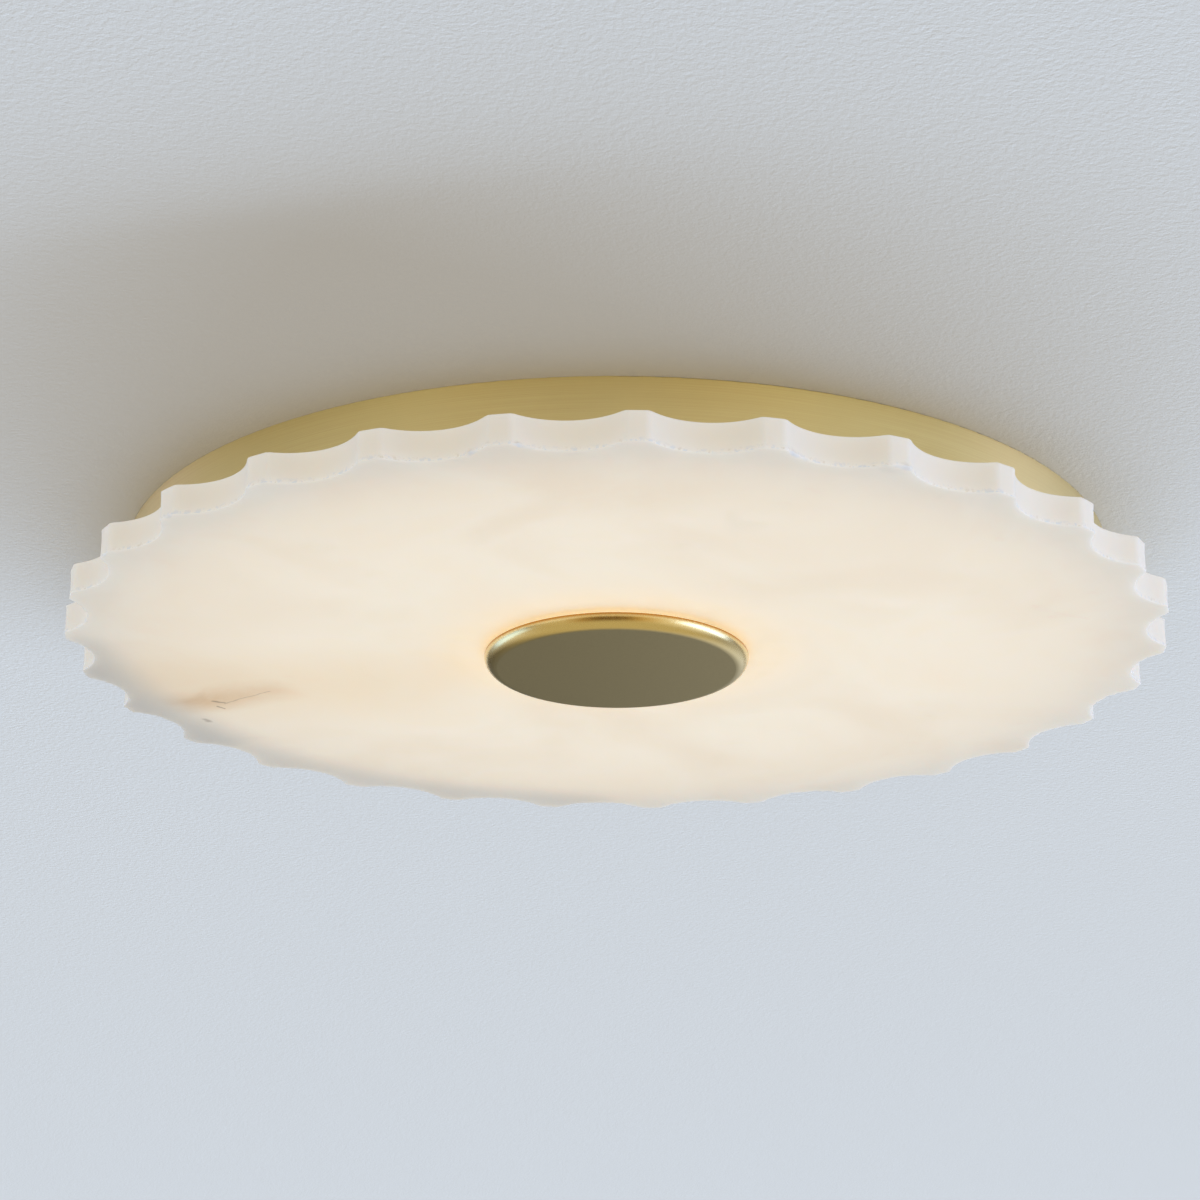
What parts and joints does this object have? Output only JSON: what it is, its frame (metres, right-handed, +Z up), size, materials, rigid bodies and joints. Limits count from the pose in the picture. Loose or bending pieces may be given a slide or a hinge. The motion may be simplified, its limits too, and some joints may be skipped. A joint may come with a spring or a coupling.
{
  "type": "flush mount ceiling light",
  "caption": "Flush mount ceiling light: a back-lit alabaster disc with a fluted edge under a shallow brushed-brass pan, carried by a screw-on brass cap at its centre.",
  "frame": {"origin": "on the ceiling, at the centre of the crossbar between the two box-screw slots", "axes": "+Z up into the ceiling, the light hangs along -Z; X along the crossbar; -Y faces the picture's viewer"},
  "size_m": [0.5993, 0.5991, 0.058],
  "materials": {
    "alabaster": "honed, translucent, lit from behind",
    "brushed_brass": "brushed round the wall, clear lacquer",
    "satin_brass": "satin flat, polished edge",
    "turned_brass": "turned",
    "zinc_plated_steel": "zinc plated",
    "aluminium_sleeve": "turned",
    "silicone": "translucent white",
    "nylon": "moulded",
    "black_rubber": "moulded",
    "tinned_copper": "tinned",
    "earth_pvc": "green and yellow",
    "supply_pvc": "white insulation",
    "white_polycarbonate": "moulded, fine texture",
    "circuit_board": "solder mask",
    "white_enamel": "matt white",
    "white_board": "white solder mask on aluminium",
    "led_phosphor": "phosphor in a white cup"
  },
  "bodies": {
    "housing": {"pan": "brushed_brass", "crossbar": "zinc_plated_steel", "support_tube": "zinc_plated_steel", "lock_nut": "zinc_plated_steel", "pan_screws": "zinc_plated_steel", "pan_washer": "zinc_plated_steel", "pan_nut": "zinc_plated_steel", "spacer_sleeve": "aluminium_sleeve", "seat_flange": "zinc_plated_steel", "upper_pad": "silicone", "rim_gasket": "silicone", "cable_grommet": "black_rubber", "terminal_block": "nylon", "terminal_inserts": "turned_brass", "terminal_screws": "zinc_plated_steel", "terminal_fixing_screws": "zinc_plated_steel", "earth_screw": "zinc_plated_steel", "earth_lug": "tinned_copper", "earth_lead": "earth_pvc", "driver_base": "white_polycarbonate", "driver_cover": "white_polycarbonate", "driver_board": "circuit_board", "driver_screws": "zinc_plated_steel", "input_leads": "supply_pvc", "output_leads": "supply_pvc", "standoffs": "turned_brass", "led_tray": "white_enamel", "tray_screws": "zinc_plated_steel", "tray_grommet": "black_rubber", "inner_board": "white_board", "middle_board": "white_board", "outer_board": "white_board", "led_chips": "led_phosphor", "board_screws": "zinc_plated_steel", "board_jumpers": "supply_pvc"},
    "shade": {"alabaster_disc": "alabaster", "bore_bush": "nylon", "lower_pad": "silicone", "clamp_plate": "zinc_plated_steel"},
    "cap": {"cap_shell": "satin_brass", "cap_hub": "turned_brass"}
  },
  "joints": [
    {"name": "shade_drop", "type": "slide", "parent": "housing", "child": "shade", "axis": [0, 0, -1], "range_m": [0, 0.012]},
    {"name": "cap_turn", "type": "hinge", "parent": "shade", "child": "cap", "pos_m": [0, 0, -0.0515], "axis": [0, 0, -1], "range_deg": [0, 4320]}
  ],
  "couplings": [
    {"joint": "cap_turn", "follows": "shade_drop", "rad_per_m": 6283.2}
  ]
}
